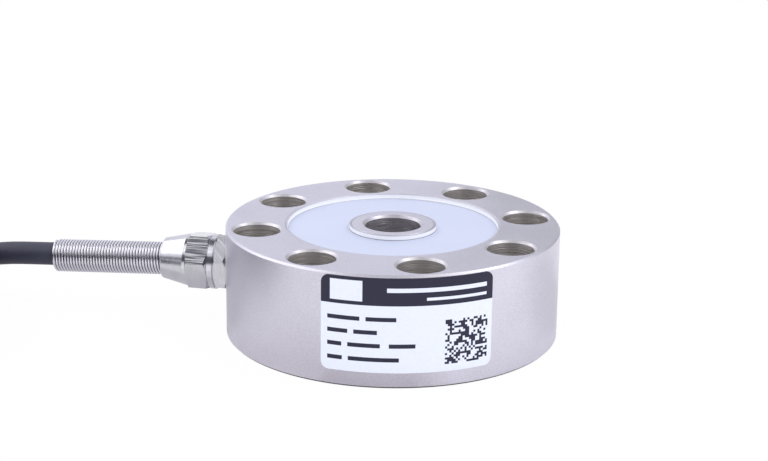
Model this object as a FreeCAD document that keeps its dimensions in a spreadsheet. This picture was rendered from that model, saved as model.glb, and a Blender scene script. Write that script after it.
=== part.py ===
"""Spoke type load cell: a machined spoke body under two thin covers, with a cable gland on its side.

Millimetres. The origin is on the body's axis, in the rim's lower face. +Z is up and the gland points along -X.
"""

import FreeCAD, Part
import math
import os
import Sketcher

Vector = FreeCAD.Vector
Rotation = FreeCAD.Rotation
Placement = FreeCAD.Placement

doc = FreeCAD.newDocument("spoke_load_cell")
sheet = doc.addObject("Spreadsheet::Sheet", "Sizes")

SIZES = [
    # the machined body
    ("rim_diameter", 105, "outside of the rim"),
    ("rim_height", 35, "lower face to upper face of the rim"),
    ("rim_chamfer", 0.6, "outer edges of the rim"),
    ("edge_break", 0.2, "small edges beside the covers"),
    ("bolt_count", 8, "bolt holes in the rim"),
    ("bolt_hole", 14.5, "bolt hole"),
    ("bolt_wall", 2.25, "rim's outside to a bolt hole"),
    ("bolt_chamfer", 0.7, "upper end of a bolt hole"),
    ("recess_wall", 2.05, "bolt hole to the covers' recess"),
    ("rim_ledge", 2.2, "ledge under the edge of a cover, at the rim"),
    ("spoke_length", 17, "inside of the rim to the root of the hub"),
    ("hub_ledge", 1.5, "ledge under the edge of a cover, at the hub"),
    ("hub_wall", 4.25, "hub's upper face, from its edge to its bore"),
    ("hub_chamfer", 0.8, "both ends of the hub's bore"),
    ("hub_lift", 0.5, "hub's lower face above the rim's lower face"),
    ("spoke_width", 10, "thickness of a spoke, across its gauges"),
    ("spoke_height", 20, "height of a spoke, centred in the rim"),
    ("spoke_fillet", 3, "corners where a spoke meets the hub and the rim"),
    # the covers
    ("cover_thickness", 0.6, "sheet of both covers"),
    ("cover_drop", 1.75, "rim's face to the flat of its cover"),
    ("cover_fit", 0.05, "gap round the edges of a cover"),
    ("lip_drop", 0.1, "rim's face to the turned-up edge of its cover"),
    ("rim_bend", 0.9, "inside bend of a cover, at the rim"),
    ("hub_bend", 0.5, "inside bend of a cover, at the hub"),
    # what the spokes carry
    ("gauge_margin", 2, "foil gauge to the rounded corner at the rim"),
    ("gauge_height", 6, "foil gauge, up its spoke"),
    ("gauge_thickness", 0.15, "foil gauge with its carrier"),
    ("board_thickness", 1.2, "terminal board"),
    ("board_margin", 0.8, "terminal board to the inside of the rim and to the sides of its spoke"),
    ("board_gap", 3.6, "wiring to the terminal board"),
    ("resistor_length", 3.2, "trim resistor"),
    ("resistor_width", 1.6, "trim resistor"),
    ("resistor_height", 0.6, "trim resistor"),
    ("wiring_diameter", 1, "bundle of fine wires that joins the gauges"),
    ("wiring_gap", 1.6, "wiring to the root of the hub"),
    ("lead_diameter", 1, "core of the cable, with its sleeve"),
    ("lead_spread", 0.9, "cores from the middle of the cable, each way"),
    ("contact_gap", 0.02, "round pieces that rest on a flat"),
    # the gland
    ("gland_rise", 0.5, "gland's axis above the middle of the rim"),
    ("spot_diameter", 20.6, "spot face in the rim's side"),
    ("spot_depth", 1.1, "rim's outside to the spot face"),
    ("thread_diameter", 15.2, "gland's thread in the rim"),
    ("thread_length", 7.5, "gland's thread below its washer"),
    ("thread_fit", 0.05, "gap at the flanks of a thread"),
    ("thread_runout", 0.3, "rim's thread past the end of the gland's"),
    ("passage_diameter", 7, "wire passage into the cavity"),
    ("washer_thickness", 1, "sealing washer"),
    ("washer_diameter", 19.4, "sealing washer"),
    ("gland_hex", 17, "across flats of the gland's body"),
    ("gland_hex_length", 4.35, "gland's hex"),
    ("gland_hex_turn", 49.5, "corner of the gland's hex, in degrees from upright"),
    ("collar_diameter", 17.7, "round collar past the gland's hex"),
    ("collar_length", 2.3, "round collar past the gland's hex"),
    ("collar_edge", 0.35, "edges of the round collar"),
    ("neck_diameter", 14.4, "gland's thread under the nut"),
    ("neck_length", 5.6, "gland's thread under the nut"),
    ("gland_bore", 8.4, "cable's way through the gland"),
    ("seal_diameter", 11.4, "rubber seal"),
    ("seal_length", 6.5, "rubber seal"),
    ("seal_pocket", 6.2, "depth of the seal's pocket in the gland"),
    ("seal_fit", 0.06, "seal to the cable and to its pocket"),
    ("clamp_diameter", 13.4, "ring between seal and spring"),
    ("clamp_thickness", 0.8, "ring between seal and spring"),
    ("nut_hex", 17, "across flats of the nut"),
    ("nut_hex_length", 7.1, "nut's hex"),
    ("nut_hex_turn", 41, "corner of the nut's hex, in degrees from upright"),
    ("nut_collar_diameter", 16.8, "round start of the nut's cone"),
    ("nut_collar_length", 0.9, "round start of the nut's cone"),
    ("nut_cone_length", 7.5, "nut's cone"),
    ("nut_end_diameter", 13.4, "small end of the nut's cone"),
    ("nut_end_length", 0.5, "nut past its cone, inside the rounded end"),
    ("nut_end_fillet", 0.45, "rounded small end of the nut"),
    ("nut_bore", 11.6, "nut's mouth, round the spring"),
    ("hex_chamfer_angle", 30, "corners of both hexes, in degrees"),
    # the bend relief spring
    ("spring_diameter", 10.7, "outside of the spring"),
    ("spring_wire", 1, "spring's wire"),
    ("spring_groove", 0.36, "depth of the groove between two turns"),
    ("spring_turns", 37, "turns outside the nut"),
    ("spring_pitch", 0.985, "turn to turn, close wound"),
    ("spring_root", 9.2, "spring inside the nut"),
    ("spring_flange", 13, "wide end turns that the nut holds"),
    ("spring_flange_length", 2, "wide end turns that the nut holds"),
    ("spring_droop", 2.8, "spring and cable below level, in degrees"),
    # the cable
    ("cable_diameter", 7.5, "sheath of the cable"),
    ("coil_distance", 125, "rim's outside to the middle of the coil"),
    ("coil_side", 6.5, "cable's swing to the side before its coil"),
    ("coil_across", 84, "middle of the coil's turns, across"),
    ("coil_rows", 4, "turns side by side in the coil"),
    ("coil_layers", 3, "turns on each other in the coil"),
    ("coil_slack", 0.1, "coil's solid outside its turns"),
    ("coil_edge", 2.3, "bevelled edges of the coil"),
    ("tail_reach", 43.5, "middle of the coil to the loose end on it"),
    ("tie_width", 4.8, "strap of a tie"),
    ("tie_thickness", 1.2, "strap of a tie"),
    ("tie_fit", 0.05, "strap to the coil"),
    ("tie_head_length", 6.5, "lock of a tie, up the coil's outside"),
    ("tie_head_depth", 4.5, "lock of a tie, out from the strap"),
    ("tie_head_width", 6.4, "lock of a tie, across the strap"),
    ("core_diameter", 1.4, "core of the bare far end"),
    ("core_circle", 3.6, "circle of cores in the sheath's end"),
    # the label
    ("label_thickness", 0.2, "rating label"),
    ("label_width", 52.5, "rating label, along the rim's curve"),
    ("label_height", 29.2, "rating label"),
    ("label_bottom", 5, "rim's lower face to the label"),
    ("label_corner", 2.4, "rounded corners of the label"),
    ("label_turn", -73.3, "middle of the label, in degrees from +X"),
]


class Length:
    """A size with the expression that binds it to the sheet, so a sketch is drawn and bound from one value."""

    def __init__(self, value, text):
        self.value = value
        self.text = text

    def __add__(self, other):
        other = as_length(other)
        return Length(self.value + other.value, f"({self.text} + {other.text})")

    def __sub__(self, other):
        other = as_length(other)
        return Length(self.value - other.value, f"({self.text} - {other.text})")

    def __mul__(self, other):
        other = as_length(other)
        return Length(self.value * other.value, f"({self.text} * {other.text})")

    def __truediv__(self, other):
        other = as_length(other)
        return Length(self.value / other.value, f"({self.text} / {other.text})")

    def __neg__(self):
        return Length(-self.value, f"(0 - {self.text})")


def as_length(number):
    return number if isinstance(number, Length) else Length(number, f"{number!r}")


def fill_sheet():
    """Write every size to the sheet, and give it back by name."""
    sizes = {}
    for row, (name, value, note) in enumerate(SIZES, start=1):
        sheet.set(f"A{row}", name)
        sheet.set(f"B{row}", str(value))
        sheet.set(f"C{row}", note)
        sheet.setAlias(f"B{row}", name)
        sizes[name] = Length(float(value), f"{sheet.Name}.{name}")
    doc.recompute()
    return sizes


size = fill_sheet()
ZERO = as_length(0)

# Heights and radii that several pieces share.
rim_radius = size["rim_diameter"] / 2
bolt_reach = rim_radius - size["bolt_wall"] - size["bolt_hole"] / 2
recess_radius = bolt_reach - size["bolt_hole"] / 2 - size["recess_wall"]
cavity_radius = recess_radius - size["rim_ledge"]
root_radius = cavity_radius - size["spoke_length"]
hub_radius = root_radius - size["hub_ledge"]
bore_radius = hub_radius - size["hub_wall"]
cover_seat = size["cover_drop"] + size["cover_thickness"]
middle_height = size["rim_height"] / 2
gland_height = middle_height + size["gland_rise"]
spoke_top = middle_height + size["spoke_height"] / 2
spoke_bottom = middle_height - size["spoke_height"] / 2
cable_radius = size["cable_diameter"] / 2

# Distances from the body's axis along the gland.
spot_face = rim_radius - size["spot_depth"]
gland_seat = spot_face + size["washer_thickness"]
collar_start = size["gland_hex_length"]
collar_end = collar_start + size["collar_length"]
neck_end = collar_end + size["neck_length"]
nut_seat = gland_seat + collar_end
seal_seat = gland_seat + neck_end - size["seal_pocket"]
clamp_seat = seal_seat + size["seal_length"]
spring_seat = clamp_seat + size["clamp_thickness"]

SPOKE_ANGLES = (45, 135, 225, 315)
BOARD_ANGLE = 225
TOWARDS_GLAND = Rotation(Vector(0, 1, 0), -90)

parts = []


def sub_part(feature, label):
    """Name a finished sub-part, which is also the name of its file."""
    feature.Label = label
    parts.append(feature)
    return feature


def new_body(label):
    return sub_part(doc.addObject("PartDesign::Body", label), label)


def new_sketch(body, name, role, offset=None):
    """A sketch on one of the body's own origin planes."""
    sketch = body.newObject("Sketcher::SketchObject", name)
    plane = [feature for feature in body.Origin.OriginFeatures if feature.Role == role][0]
    sketch.AttachmentSupport = [(plane, "")]
    sketch.MapMode = "FlatFace"
    if offset:
        sketch.AttachmentOffset = offset
    return sketch


def bind(feature, prop, length):
    feature.setExpression(prop, length.text)


def constrain(sketch, kind, *where, length):
    """Add a dimension to a sketch and bind it to the sheet."""
    index = sketch.addConstraint(Sketcher.Constraint(kind, *where, length.value))
    sketch.setExpression(f"Constraints[{index}]", length.text)


def place_point(sketch, geometry, end, x, y):
    """Hold a point at its distances from the sketch's origin."""
    for length, kind, axis in ((x, "DistanceX", -2), (y, "DistanceY", -1)):
        if abs(length.value) < 1e-9:
            sketch.addConstraint(Sketcher.Constraint("PointOnObject", geometry, end, axis))
        else:
            constrain(sketch, kind, -1, 1, geometry, end, length=length)


def draw_outline(sketch, points):
    """A closed outline of straight lines through bound points."""
    points = [(as_length(x), as_length(y)) for x, y in points]
    corners = [Vector(x.value, y.value, 0) for x, y in points]
    count = len(points)
    lines = [sketch.addGeometry(Part.LineSegment(corners[i], corners[(i + 1) % count])) for i in range(count)]
    for i in range(count):
        sketch.addConstraint(Sketcher.Constraint("Coincident", lines[i], 2, lines[(i + 1) % count], 1))
    for i in range(count):
        place_point(sketch, lines[i], 1, *points[i])


def draw_circle(sketch, radius, x=ZERO, y=ZERO):
    index = sketch.addGeometry(Part.Circle(Vector(x.value, y.value, 0), Vector(0, 0, 1), radius.value))
    if abs(x.value) < 1e-9 and abs(y.value) < 1e-9:
        sketch.addConstraint(Sketcher.Constraint("Coincident", index, 3, -1, 1))
    else:
        place_point(sketch, index, 3, x, y)
    constrain(sketch, "Radius", index, length=radius)


def draw_hexagon(sketch, across_flats):
    """A hexagon with a corner on the sketch's X axis."""
    corner = across_flats / math.sqrt(3)
    flat = across_flats / 2
    draw_outline(sketch, [
        (corner, 0),
        (corner / 2, flat),
        (-corner / 2, flat),
        (-corner, 0),
        (-corner / 2, -flat),
        (corner / 2, -flat),
    ])


def turned(body, name, points):
    """Material turned about the body's Z axis, from an outline of radii and heights."""
    sketch = new_sketch(body, name + "_outline", "XZ_Plane")
    draw_outline(sketch, points)
    feature = body.newObject("PartDesign::Revolution", name)
    feature.Profile = sketch
    feature.ReferenceAxis = (sketch, ["V_Axis"])
    feature.Angle = 360
    return feature


def turned_away(body, name, points):
    """A cut turned about the body's Z axis, from an outline of radii and heights."""
    sketch = new_sketch(body, name + "_outline", "XZ_Plane")
    draw_outline(sketch, points)
    feature = body.newObject("PartDesign::Groove", name)
    feature.Profile = sketch
    feature.ReferenceAxis = (sketch, ["V_Axis"])
    feature.Angle = 360
    return feature


def hex_pad(body, name, across_flats, length, turn):
    """A hexagon raised from the body's XY plane, with its corners turned off at both ends."""
    offset = Placement(Vector(0, 0, 0), Rotation(Vector(0, 0, 1), turn.value))
    sketch = new_sketch(body, name + "_outline", "XY_Plane", offset)
    sketch.setExpression("AttachmentOffset.Rotation.Angle", f"{turn.text} * 1 deg")
    draw_hexagon(sketch, across_flats)
    pad = body.newObject("PartDesign::Pad", name)
    pad.Profile = sketch
    bind(pad, "Length", length)
    slope = math.tan(math.radians(size["hex_chamfer_angle"].value))
    flat = across_flats / 2
    outside = across_flats
    rise = (outside - flat) * slope
    turned_away(body, name + "_lower_corners", [(flat, 0), (outside, 0), (outside, rise)])
    turned_away(body, name + "_upper_corners", [(flat, length), (outside, length - rise), (outside, length)])
    return pad


def round_edges(feature, radius, height):
    """Names of the feature's circular edges of that radius, about any upright axis, at that height."""
    names = []
    for number, edge in enumerate(feature.Shape.Edges, start=1):
        curve = edge.Curve
        if not isinstance(curve, Part.Circle):
            continue
        if abs(curve.Radius - radius.value) < 1e-4 and abs(curve.Center.z - height.value) < 1e-4:
            names.append(f"Edge{number}")
    if not names:
        raise RuntimeError(f"{feature.Label} has no round edge of {radius.value} at {height.value}")
    return names


def dress(body, kind, name, length, pick):
    """A Fillet or Chamfer on the edges that pick finds in the body as it is so far."""
    doc.recompute()
    base = body.Tip
    feature = body.newObject(kind, name)
    feature.Base = (base, pick(base))
    bind(feature, "Radius" if kind.endswith("Fillet") else "Size", length)
    return feature


def stand_at_gland(body, distance):
    """Turn a piece's Z axis towards the gland and seat it that far from the body's axis."""
    body.Placement = Placement(Vector(-distance.value, 0, gland_height.value), TOWARDS_GLAND)
    bind(body, "Placement.Base.x", -distance)
    bind(body, "Placement.Base.z", gland_height)


def make_sensor_body():
    """Rim, hub and four spokes, machined from one piece."""
    body = new_body("sensor_body")
    height = size["rim_height"]
    chamfer = size["rim_chamfer"]
    edge = size["edge_break"]
    bore = bore_radius
    bore_chamfer = size["hub_chamfer"]
    lift = size["hub_lift"]
    turned(body, "blank", [
        (rim_radius - chamfer, 0),
        (rim_radius, chamfer),
        (rim_radius, height - chamfer),
        (rim_radius - chamfer, height),
        (recess_radius + edge, height),
        (recess_radius, height - edge),
        (recess_radius, height - cover_seat),
        (cavity_radius, height - cover_seat),
        (cavity_radius, spoke_top),
        (root_radius, spoke_top),
        (root_radius, height - cover_seat),
        (hub_radius, height - cover_seat),
        (hub_radius, height - edge),
        (hub_radius - edge, height),
        (bore + bore_chamfer, height),
        (bore, height - bore_chamfer),
        (bore, lift + bore_chamfer),
        (bore + bore_chamfer, lift),
        (hub_radius - edge, lift),
        (hub_radius, lift + edge),
        (hub_radius, cover_seat),
        (root_radius, cover_seat),
        (root_radius, spoke_bottom),
        (cavity_radius, spoke_bottom),
        (cavity_radius, cover_seat),
        (recess_radius, cover_seat),
        (recess_radius, edge),
        (recess_radius + edge, 0),
    ])
    cut_windows(body)
    cut_bolt_holes(body)
    cut_gland_bore(body)
    return body


def cut_windows(body):
    """The four openings that leave the spokes standing, with rounded corners."""
    turn = Placement(Vector(0, 0, 0), Rotation(Vector(0, 0, 1), SPOKE_ANGLES[0]))
    sketch = new_sketch(body, "window_outline", "XY_Plane", turn)
    side = size["spoke_width"] / 2
    fillet = size["spoke_fillet"]
    outer_centre = fillet_centre(side, fillet, cavity_radius.value - fillet.value)
    inner_centre = fillet_centre(side, fillet, root_radius.value + fillet.value)
    outer_foot = outer_centre * (cavity_radius.value / (cavity_radius.value - fillet.value))
    inner_foot = inner_centre * (root_radius.value / (root_radius.value + fillet.value))
    half = Vector(side.value, side.value, 0)

    def mirrored(point):
        return Vector(point.y, point.x, 0)

    def on_side(centre):
        return Vector(centre.x, half.y, 0)

    def arc(radius, centre, start, end):
        circle = Part.Circle(centre, Vector(0, 0, 1), radius.value)
        return Part.ArcOfCircle(circle, circle.parameter(start), circle.parameter(end))

    origin = Vector(0, 0, 0)
    sketch.addGeometry([
        Part.LineSegment(on_side(inner_centre), on_side(outer_centre)),
        arc(fillet, outer_centre, on_side(outer_centre), outer_foot),
        arc(cavity_radius, origin, outer_foot, mirrored(outer_foot)),
        arc(fillet, mirrored(outer_centre), mirrored(outer_foot), mirrored(on_side(outer_centre))),
        Part.LineSegment(mirrored(on_side(outer_centre)), mirrored(on_side(inner_centre))),
        arc(fillet, mirrored(inner_centre), mirrored(on_side(inner_centre)), mirrored(inner_foot)),
        arc(root_radius, origin, inner_foot, mirrored(inner_foot)),
        arc(fillet, inner_centre, inner_foot, on_side(inner_centre)),
    ])
    # start and end of each piece of the outline; the inner arc runs the other way round
    joints = [(0, 2, 1, 1), (1, 2, 2, 1), (2, 2, 3, 1), (3, 2, 4, 1),
              (4, 2, 5, 1), (5, 2, 6, 2), (6, 1, 7, 1), (7, 2, 0, 1)]
    for joint in joints:
        sketch.addConstraint(Sketcher.Constraint("Tangent", *joint))
    for ring in (2, 6):
        sketch.addConstraint(Sketcher.Constraint("Coincident", ring, 3, -1, 1))
    sketch.addConstraint(Sketcher.Constraint("Horizontal", 0))
    sketch.addConstraint(Sketcher.Constraint("Vertical", 4))
    for corner in (3, 5, 7):
        sketch.addConstraint(Sketcher.Constraint("Equal", 1, corner))
    constrain(sketch, "DistanceY", -1, 1, 0, 1, length=side)
    constrain(sketch, "DistanceX", -1, 1, 4, 1, length=side)
    constrain(sketch, "Radius", 1, length=fillet)
    constrain(sketch, "Radius", 2, length=cavity_radius)
    constrain(sketch, "Radius", 6, length=root_radius)

    window = body.newObject("PartDesign::Pocket", "window")
    window.Profile = sketch
    window.Type = "ThroughAll"
    window.Midplane = True
    repeat_round(body, "windows", window, sketch, as_length(len(SPOKE_ANGLES)))


def fillet_centre(side, fillet, reach):
    """Centre of a corner that touches a spoke's side, that far from the axis."""
    y = side.value + fillet.value
    return Vector(math.sqrt(reach ** 2 - y ** 2), y, 0)


def repeat_round(body, name, feature, sketch, count):
    """Repeat a feature evenly round the body's axis."""
    pattern = body.newObject("PartDesign::PolarPattern", name)
    pattern.Originals = [feature]
    pattern.Axis = (sketch, ["N_Axis"])
    pattern.Angle = 360
    bind(pattern, "Occurrences", count)
    body.Tip = pattern
    return pattern


def cut_bolt_holes(body):
    """Bolt holes round the rim, two of them evenly beside the gland."""
    step = math.pi / size["bolt_count"].value
    hole = size["bolt_hole"] / 2
    sketch = new_sketch(body, "bolt_hole_outline", "XY_Plane")
    draw_circle(sketch, hole, bolt_reach * math.cos(step), bolt_reach * math.sin(step))
    pocket = body.newObject("PartDesign::Pocket", "bolt_hole")
    pocket.Profile = sketch
    pocket.Type = "ThroughAll"
    pocket.Midplane = True
    repeat_round(body, "bolt_holes", pocket, sketch, size["bolt_count"])

    dress(body, "PartDesign::Chamfer", "bolt_hole_chamfers", size["bolt_chamfer"],
          lambda base: round_edges(base, hole, size["rim_height"]))


def cut_gland_bore(body):
    """Spot face, thread and wire passage, bored through the rim between two bolt holes."""
    offset = Placement(Vector(0, gland_height.value, 0), Rotation(Vector(0, 1, 0), 180))
    sketch = new_sketch(body, "gland_bore_outline", "XZ_Plane", offset)
    bind(sketch, "AttachmentOffset.Base.y", gland_height)
    spot = size["spot_diameter"] / 2
    thread = size["thread_diameter"] / 2 + size["thread_fit"]
    thread_end = spot_face - size["thread_length"] - size["thread_runout"]
    passage = size["passage_diameter"] / 2
    inside = cavity_radius - size["spoke_fillet"]
    outside = rim_radius + size["spot_depth"]
    draw_outline(sketch, [
        (inside, 0),
        (outside, 0),
        (outside, spot),
        (spot_face, spot),
        (spot_face, thread),
        (thread_end, thread),
        (thread_end, passage),
        (inside, passage),
    ])
    bore = body.newObject("PartDesign::Groove", "gland_bore")
    bore.Profile = sketch
    bore.ReferenceAxis = (sketch, ["H_Axis"])
    bore.Angle = 360


def make_cover(label, hub_step):
    """A pressed ring of sheet with turned-up edges. Its Z axis points out of the body."""
    body = new_body(label)
    sheet_thickness = size["cover_thickness"]
    outer = recess_radius - size["cover_fit"]
    inner = hub_radius + size["cover_fit"]
    lip = cover_seat - size["lip_drop"]
    turned(body, "dish", [
        (inner, 0),
        (outer, 0),
        (outer, lip),
        (outer - sheet_thickness, lip),
        (outer - sheet_thickness, sheet_thickness),
        (inner + sheet_thickness, sheet_thickness),
        (inner + sheet_thickness, lip - hub_step),
        (inner, lip - hub_step),
    ])
    for name, bend, outside, inside in (
        ("rim_edge", size["rim_bend"], outer, outer - sheet_thickness),
        ("hub_edge", size["hub_bend"], inner, inner + sheet_thickness),
    ):
        dress(body, "PartDesign::Fillet", name + "_inside", bend,
              lambda base, radius=inside: round_edges(base, radius, sheet_thickness))
        dress(body, "PartDesign::Fillet", name + "_outside", bend + sheet_thickness,
              lambda base, radius=outside: round_edges(base, radius, ZERO))
    return body


def make_covers():
    top = make_cover("top_cover", ZERO)
    top.Placement = Placement(Vector(0, 0, (size["rim_height"] - cover_seat).value), Rotation())
    bind(top, "Placement.Base.z", size["rim_height"] - cover_seat)
    bottom = make_cover("bottom_cover", size["hub_lift"])
    bottom.Placement = Placement(Vector(0, 0, cover_seat.value), Rotation(Vector(1, 0, 0), 180))
    bind(bottom, "Placement.Base.z", cover_seat)


def box_on_spoke(label, angle, corner, length, width, height):
    """A box along a spoke. Its corner is given along the spoke, across it and up."""
    box = sub_part(doc.addObject("Part::Box", label), label)
    bind(box, "Length", length)
    bind(box, "Width", width)
    bind(box, "Height", height)
    along, across, up = (as_length(value) for value in corner)
    cosine = math.cos(math.radians(angle))
    sine = math.sin(math.radians(angle))
    x = along * cosine - across * sine
    y = along * sine + across * cosine
    box.Placement = Placement(Vector(x.value, y.value, up.value), Rotation(Vector(0, 0, 1), angle))
    bind(box, "Placement.Base.x", x)
    bind(box, "Placement.Base.y", y)
    bind(box, "Placement.Base.z", up)
    return box


def make_gauges():
    """A foil gauge on both sides of each spoke, clear of its rounded ends."""
    start = root_radius + size["spoke_fillet"]
    length = cavity_radius - start - size["spoke_fillet"] - size["gauge_margin"]
    low = middle_height - size["gauge_height"] / 2
    side = size["spoke_width"] / 2
    number = 0
    for angle in SPOKE_ANGLES:
        for across in (side, -side - size["gauge_thickness"]):
            number += 1
            box_on_spoke(f"strain_gauge_{number}", angle, (start, across, low),
                         length, size["gauge_thickness"], size["gauge_height"])


wiring_reach = root_radius + size["wiring_gap"] + size["wiring_diameter"]
board_start = wiring_reach + size["board_gap"]
board_length = cavity_radius - size["board_margin"] - board_start
board_width = size["spoke_width"] - size["board_margin"] * 2
board_top = spoke_top + size["board_thickness"]


def make_board():
    """The terminal board on one spoke, with its two trim resistors."""
    box_on_spoke("bridge_board", BOARD_ANGLE, (board_start, -board_width / 2, spoke_top),
                 board_length, board_width, size["board_thickness"])
    gap = (board_length - size["resistor_width"] * 2) / 3
    across = board_width / 4 - size["resistor_length"] / 2
    for number, label in enumerate(("zero_resistor", "span_resistor")):
        along = board_start + gap + (size["resistor_width"] + gap) * number
        box_on_spoke(label, BOARD_ANGLE, (along, across, board_top),
                     size["resistor_width"], size["resistor_length"], size["resistor_height"])


def make_wiring():
    """The ring of fine wires that lies on the four spokes."""
    ring = sub_part(doc.addObject("Part::Torus", "bridge_wiring"), "bridge_wiring")
    radius = size["wiring_diameter"] / 2
    bind(ring, "Radius1", wiring_reach - radius)
    bind(ring, "Radius2", radius)
    bind(ring, "Placement.Base.z", spoke_top + radius + size["contact_gap"])


def rounded_path(points, told=None):
    """Straight runs joined by arcs as large as the runs allow. told prints the smallest radius."""
    edges = []
    start = points[0]
    radii = []
    for before, corner, after in zip(points, points[1:], points[2:]):
        back = before - corner
        ahead = after - corner
        turn = math.pi - back.getAngle(ahead)
        reach = 0.45 * min(back.Length, ahead.Length)
        radii.append(reach / math.tan(turn / 2))
        back.normalize()
        ahead.normalize()
        arc_start = corner + back * reach
        arc_end = corner + ahead * reach
        middle = back + ahead
        middle.normalize()
        centre_reach = math.hypot(reach, radii[-1])
        arc_middle = corner + middle * (centre_reach - radii[-1])
        edges.append(Part.LineSegment(start, arc_start).toShape())
        edges.append(Part.Arc(arc_start, arc_middle, arc_end).toShape())
        start = arc_end
    edges.append(Part.LineSegment(start, points[-1]).toShape())
    if told:
        print(told, "bend radii", [round(radius, 1) for radius in radii])
    return Part.Wire(edges)


def make_tube(label, points, diameter, told=None):
    """A round tube along a rounded path, compared with its section times its length."""
    path = doc.addObject("Part::Feature", label + "_path")
    path.Shape = rounded_path(points, told)
    section = doc.addObject("Part::Circle", label + "_section")
    bind(section, "Radius", diameter / 2)
    ahead = points[1] - points[0]
    section.Placement = Placement(points[0], Rotation(Vector(0, 0, 1), ahead))
    tube = doc.addObject("Part::Sweep", label)
    tube.Sections = [section]
    tube.Spine = (path, [f"Edge{number + 1}" for number in range(len(path.Shape.Edges))])
    tube.Solid = True
    doc.recompute()
    expected = math.pi * (diameter.value / 2) ** 2 * path.Shape.Length
    if abs(tube.Shape.Volume / expected - 1) > 0.001:
        raise RuntimeError(f"{label} has volume {tube.Shape.Volume:.3f} and not {expected:.3f}")
    return tube


cable_inner_end = gland_seat - size["washer_thickness"]


def make_leads():
    """The cable's four cores, from its inner end through the passage and up to the board's pads."""
    spread = size["lead_spread"].value
    radius = size["lead_diameter"].value / 2
    end = -cable_inner_end.value
    level = gland_height.value
    along = Rotation(Vector(0, 0, 1), BOARD_ANGLE).multVec(Vector(1, 0, 0))
    across = Rotation(Vector(0, 0, 1), BOARD_ANGLE).multVec(Vector(0, 1, 0))
    pad_side = -board_width.value / 4
    pad_height = board_top.value + radius + size["contact_gap"].value
    pitch = board_length.value * 0.22
    first_pad = board_start.value + (board_length.value - 3 * pitch) / 2
    clear_of_spoke = size["spoke_width"].value / 2 + spread
    colours = (("lead_green", 1, -1), ("lead_white", -1, -1), ("lead_black", 1, 1), ("lead_red", -1, 1))
    for number, (label, right, up) in enumerate(colours):
        y = right * spread
        z = level + up * spread
        pad = along * (first_pad + pitch * number) + across * pad_side
        pad.z = pad_height
        over = pad - across * clear_of_spoke
        over.z = pad_height + radius
        rise = Vector(over.x, y, z)
        tube = make_tube(label, [Vector(end, y, z), rise, over, pad], size["lead_diameter"])
        sub_part(tube, label)


def make_washer():
    body = new_body("sealing_washer")
    inner = size["thread_diameter"] / 2 + size["thread_fit"]
    outer = size["washer_diameter"] / 2
    thickness = size["washer_thickness"]
    turned(body, "ring", [(inner, 0), (outer, 0), (outer, thickness), (inner, thickness)])
    stand_at_gland(body, spot_face)


def make_gland_body():
    """Turned from hex bar: thread, hex, round collar and a threaded neck with the seal's pocket."""
    body = new_body("gland_body")
    hex_pad(body, "hex", size["gland_hex"], collar_start, size["gland_hex_turn"])
    thread = size["thread_diameter"] / 2
    stub = -size["washer_thickness"] - size["thread_length"]
    lead_in = size["rim_chamfer"]
    bore = size["gland_bore"] / 2
    collar = size["collar_diameter"] / 2
    edge = size["collar_edge"]
    neck = size["neck_diameter"] / 2
    turned(body, "turned_ends", [
        (bore, stub),
        (thread - lead_in, stub),
        (thread, stub + lead_in),
        (thread, 0),
        (thread, collar_start),
        (collar - edge, collar_start),
        (collar, collar_start + edge),
        (collar, collar_end - edge),
        (collar - edge, collar_end),
        (neck, collar_end),
        (neck, neck_end),
        (bore, neck_end),
    ])
    turned_away(body, "bore", [(0, stub), (bore, stub), (bore, neck_end), (0, neck_end)])
    pocket = size["seal_diameter"] / 2 + size["seal_fit"]
    pocket_floor = neck_end - size["seal_pocket"]
    turned_away(body, "seal_pocket", [(0, pocket_floor), (pocket, pocket_floor), (pocket, neck_end), (0, neck_end)])
    stand_at_gland(body, gland_seat)


def make_seal():
    body = new_body("gland_seal")
    inner = cable_radius + size["seal_fit"]
    outer = size["seal_diameter"] / 2
    length = size["seal_length"]
    turned(body, "bush", [(inner, 0), (outer, 0), (outer, length), (inner, length)])
    stand_at_gland(body, seal_seat)


def make_clamp_ring():
    body = new_body("clamp_ring")
    inner = size["gland_bore"] / 2
    outer = size["clamp_diameter"] / 2
    thickness = size["clamp_thickness"]
    turned(body, "ring", [(inner, 0), (outer, 0), (outer, thickness), (inner, thickness)])
    stand_at_gland(body, clamp_seat)


droop_sine = math.sin(math.radians(size["spring_droop"].value))
flange_radius = size["spring_flange"] / 2
flange_lean = flange_radius * droop_sine
spring_start = spring_seat + flange_lean + size["contact_gap"]
nut_shoulder = spring_start + size["spring_flange_length"] + flange_lean + size["contact_gap"] - nut_seat


def make_nut():
    """A hex nut with a long cone. A shoulder inside it holds the spring's wide end."""
    body = new_body("gland_nut")
    hex_pad(body, "hex", size["nut_hex"], size["nut_hex_length"], size["nut_hex_turn"])
    thread = size["neck_diameter"] / 2 + size["thread_fit"]
    mouth = size["nut_bore"] / 2
    collar = size["nut_collar_diameter"] / 2
    end = size["nut_end_diameter"] / 2
    cone_start = size["nut_hex_length"] + size["nut_collar_length"]
    cone_end = cone_start + size["nut_cone_length"]
    length = cone_end + size["nut_end_length"]
    turned(body, "cone", [
        (thread, 0),
        (collar, 0),
        (collar, cone_start),
        (end, cone_end),
        (end, length),
        (mouth, length),
        (mouth, nut_shoulder),
        (thread, nut_shoulder),
    ])
    dress(body, "PartDesign::Fillet", "rounded_end", size["nut_end_fillet"],
          lambda base: round_edges(base, end, length))
    turned_away(body, "thread", [(0, 0), (thread, 0), (thread, nut_shoulder), (0, nut_shoulder)])
    stand_at_gland(body, nut_seat)


nut_length = size["nut_hex_length"] + size["nut_collar_length"] + size["nut_cone_length"] + size["nut_end_length"]
spring_mouth = nut_seat + nut_length - spring_start


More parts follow.
